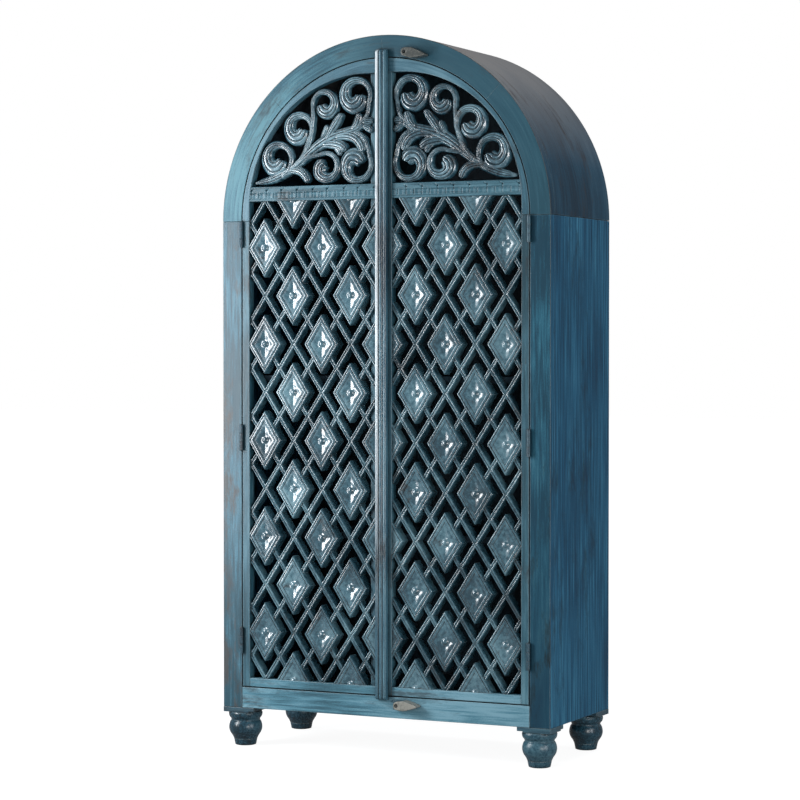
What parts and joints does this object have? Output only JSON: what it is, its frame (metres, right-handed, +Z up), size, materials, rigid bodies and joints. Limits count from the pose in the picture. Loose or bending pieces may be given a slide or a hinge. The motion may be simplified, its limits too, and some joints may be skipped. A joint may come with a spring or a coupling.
{
  "type": "arched cabinet",
  "caption": "Tall arched cabinet on turned feet with pierced lattice doors, carved scroll tops, a reeded meeting strip and wooden turn buttons.",
  "frame": {"origin": "on the floor, below the middle of the whole outline", "axes": "+Z up, -Y towards the viewer in front of the doors, +X to that viewer's right"},
  "size_m": [1.0002, 0.4602, 1.982],
  "materials": {
    "frame_wood": "distressed teal blue paint, worn to dark wood at the edges",
    "side_wood": "darker blue paint, rubbed back along the grain",
    "door_wood": "distressed teal blue paint, satin",
    "carved_wood": "grey blue paint, rubbed to pale highlights on the carving",
    "turned_wood": "dark teal blue paint, worn on the rings",
    "inside_wood": "dark stained, matt",
    "button_wood": "painted and worn",
    "hinge_metal": "painted over with the frame",
    "screw_metal": "blackened steel"
  },
  "bodies": {
    "carcase": {"arch_splines": "inside_wood", "back_panel": "inside_wood", "bottom_button_block": "button_wood", "button_screws": "screw_metal", "corner_block_back_left": "inside_wood", "corner_block_back_right": "inside_wood", "corner_block_front_left": "inside_wood", "corner_block_front_right": "inside_wood", "floor_board": "inside_wood", "foot_back_left": "turned_wood", "foot_back_right": "turned_wood", "foot_front_left": "turned_wood", "foot_front_right": "turned_wood", "foot_plate_back_left": "turned_wood", "foot_plate_back_right": "turned_wood", "foot_plate_front_left": "turned_wood", "foot_plate_front_right": "turned_wood", "frame_arch_1": "frame_wood", "frame_arch_2": "frame_wood", "frame_arch_3": "frame_wood", "frame_arch_4": "frame_wood", "frame_bottom_rail": "frame_wood", "frame_hinge_leaves_left": "hinge_metal", "frame_hinge_leaves_right": "hinge_metal", "frame_hinge_screws_left": "screw_metal", "frame_hinge_screws_right": "screw_metal", "frame_post_left": "frame_wood", "frame_post_right": "frame_wood", "hinge_pins_left": "screw_metal", "hinge_pins_right": "screw_metal", "roof_board": "side_wood", "shelf_1": "inside_wood", "shelf_2": "inside_wood", "shelf_3": "inside_wood", "side_panel_left": "side_wood", "side_panel_right": "side_wood", "top_button_block": "button_wood"},
    "bottom_button": {"bottom_turn_button": "button_wood"},
    "left_door": {"left_door_arched_rail": "door_wood", "left_door_bottom_rail": "door_wood", "left_door_hinge_leaves": "hinge_metal", "left_door_hinge_screws": "screw_metal", "left_door_hinge_stile": "door_wood", "left_door_lattice": "carved_wood", "left_door_meeting_stile": "door_wood", "left_door_scroll_panel": "carved_wood", "left_door_transom": "door_wood"},
    "right_door": {"right_door_arched_rail": "door_wood", "right_door_bottom_rail": "door_wood", "right_door_hinge_leaves": "hinge_metal", "right_door_hinge_screws": "screw_metal", "right_door_hinge_stile": "door_wood", "right_door_lattice": "carved_wood", "right_door_meeting_stile": "door_wood", "right_door_meeting_strip": "door_wood", "right_door_scroll_panel": "carved_wood", "right_door_transom": "door_wood"},
    "top_button": {"top_turn_button": "button_wood"}
  },
  "joints": [
    {"name": "right_door_hinge", "type": "hinge", "parent": "carcase", "child": "right_door", "pos_m": [0.43875, -0.2054, 0.877], "axis": [0, 0, 1], "range_deg": [0, 160]},
    {"name": "left_door_hinge", "type": "hinge", "parent": "carcase", "child": "left_door", "pos_m": [-0.43875, -0.2054, 0.877], "axis": [0, 0, -1], "range_deg": [0, 160]},
    {"name": "top_button_pivot", "type": "hinge", "parent": "carcase", "child": "top_button", "pos_m": [0.081, -0.2217, 1.92973], "axis": [0, 1, 0], "range_deg": [-70, 90]},
    {"name": "bottom_button_pivot", "type": "hinge", "parent": "carcase", "child": "bottom_button", "pos_m": [0.0574, -0.2217, 0.149], "axis": [0, -1, 0], "range_deg": [-70, 90]}
  ]
}
